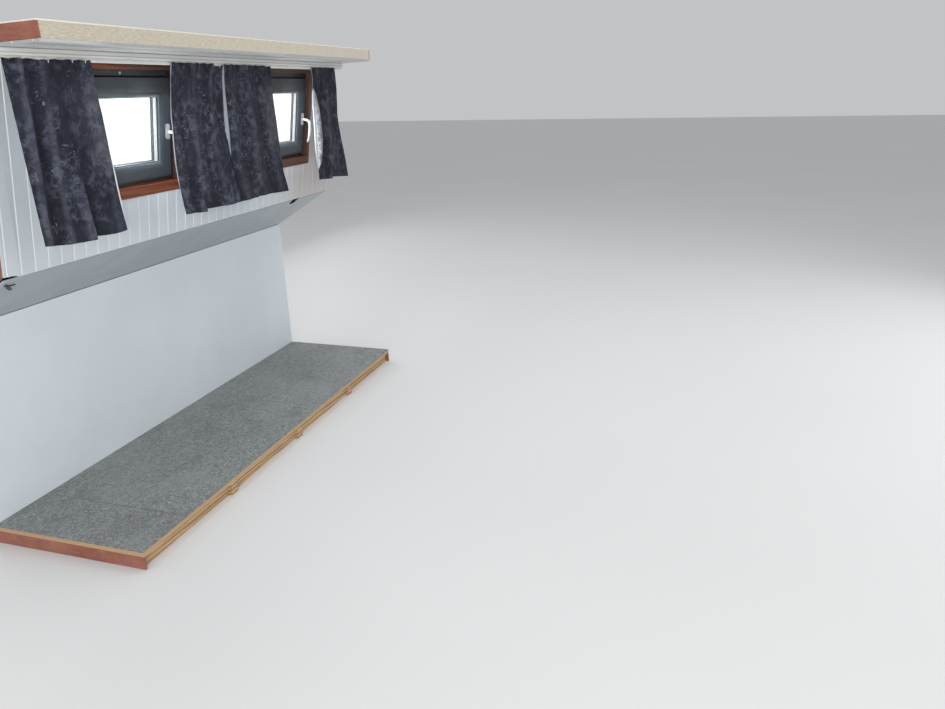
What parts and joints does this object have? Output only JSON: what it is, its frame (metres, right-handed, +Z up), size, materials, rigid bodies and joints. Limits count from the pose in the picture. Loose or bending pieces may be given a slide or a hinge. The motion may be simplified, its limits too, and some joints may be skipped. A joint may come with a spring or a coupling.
{
  "type": "barge saloon side section",
  "caption": "Section cut from a barge's saloon side: leaning white-boarded coaming with opening windows and short dark curtains, sloping panel and lining, steel hull and side deck outside.",
  "frame": {"origin": "under the floor bearers, midway along and midway across the section", "axes": "+X forward along the barge, +Y outboard, +Z up; the section is of the port side"},
  "size_m": [2.487, 0.8663, 2.0155],
  "materials": {
    "timber": "matte",
    "plywood": "matte",
    "carpet": "matte",
    "hull_paint": "gloss",
    "deck_paint": "matte",
    "coaming_paint": "gloss",
    "primed_steel": "matte",
    "insulation": "matte",
    "white_boards": "satin",
    "ceiling_gloss": "gloss",
    "panel_paint": "matte",
    "lining_paint": "satin",
    "white_trim": "satin",
    "track_plastic": "satin",
    "curtain_cloth": "matte",
    "mahogany": "gloss",
    "dark_frame": "satin",
    "glass": "gloss",
    "spacer_bar": "satin",
    "hinge_metal": "satin",
    "handle_white": "gloss"
  },
  "bodies": {
    "root": {"floor_bearers": "timber", "floor_board": "plywood", "floor_carpet": "carpet", "hull_side_plate": "hull_paint", "rubbing_band": "hull_paint", "bulwark_capping": "hull_paint", "side_deck_plate": "deck_paint", "coaming_plate": "coaming_paint", "roof_plate": "coaming_paint", "ring_frame_aft": "primed_steel", "ring_frame_fwd": "primed_steel", "roof_insulation": "insulation", "hull_insulation": "insulation", "coaming_boards": "white_boards", "ceiling_boards": "ceiling_gloss", "sloping_panel": "panel_paint", "hull_lining": "lining_paint", "curtain_lath": "white_trim", "curtain_track": "track_plastic", "window_1_surround": "mahogany", "window_1_frame": "dark_frame", "window_1_hinge_lower_fixed": "hinge_metal", "window_1_hinge_upper_fixed": "hinge_metal", "window_2_surround": "mahogany", "window_2_frame": "dark_frame", "window_2_hinge_lower_fixed": "hinge_metal", "window_2_hinge_upper_fixed": "hinge_metal", "curtain_1_left": "curtain_cloth", "curtain_1_right": "curtain_cloth", "curtain_2_left": "curtain_cloth", "curtain_2_right": "curtain_cloth"},
    "sash_1": {"window_1_sash": "dark_frame", "window_1_inner_pane": "glass", "window_1_spacer": "spacer_bar", "window_1_outer_pane": "glass", "window_1_hinge_lower_sash": "hinge_metal", "window_1_hinge_upper_sash": "hinge_metal", "window_1_handle_plate": "handle_white"},
    "handle_1": {"window_1_handle_lever": "handle_white"},
    "sash_2": {"window_2_sash": "dark_frame", "window_2_inner_pane": "glass", "window_2_spacer": "spacer_bar", "window_2_outer_pane": "glass", "window_2_hinge_lower_sash": "hinge_metal", "window_2_hinge_upper_sash": "hinge_metal", "window_2_handle_plate": "handle_white"},
    "handle_2": {"window_2_handle_lever": "handle_white"}
  },
  "joints": [
    {"name": "sash_1_turn", "type": "hinge", "parent": "root", "child": "sash_1", "pos_m": [-0.89995, -0.13568, 1.64579], "axis": [0, 0.1583, -0.9874], "range_deg": [0, 80], "deforming": ["curtain_1_left", "curtain_1_right"]},
    {"name": "handle_1_turn", "type": "hinge", "parent": "sash_1", "child": "handle_1", "pos_m": [-0.32225, -0.13481, 1.6277], "axis": [0, 0.9874, 0.1583], "range_deg": [0, 90]},
    {"name": "sash_2_turn", "type": "hinge", "parent": "root", "child": "sash_2", "pos_m": [0.32005, -0.13568, 1.64579], "axis": [0, 0.1583, -0.9874], "range_deg": [0, 80], "deforming": ["curtain_2_left", "curtain_2_right"]},
    {"name": "handle_2_turn", "type": "hinge", "parent": "sash_2", "child": "handle_2", "pos_m": [0.89775, -0.13481, 1.6277], "axis": [0, 0.9874, 0.1583], "range_deg": [0, 90]}
  ]
}
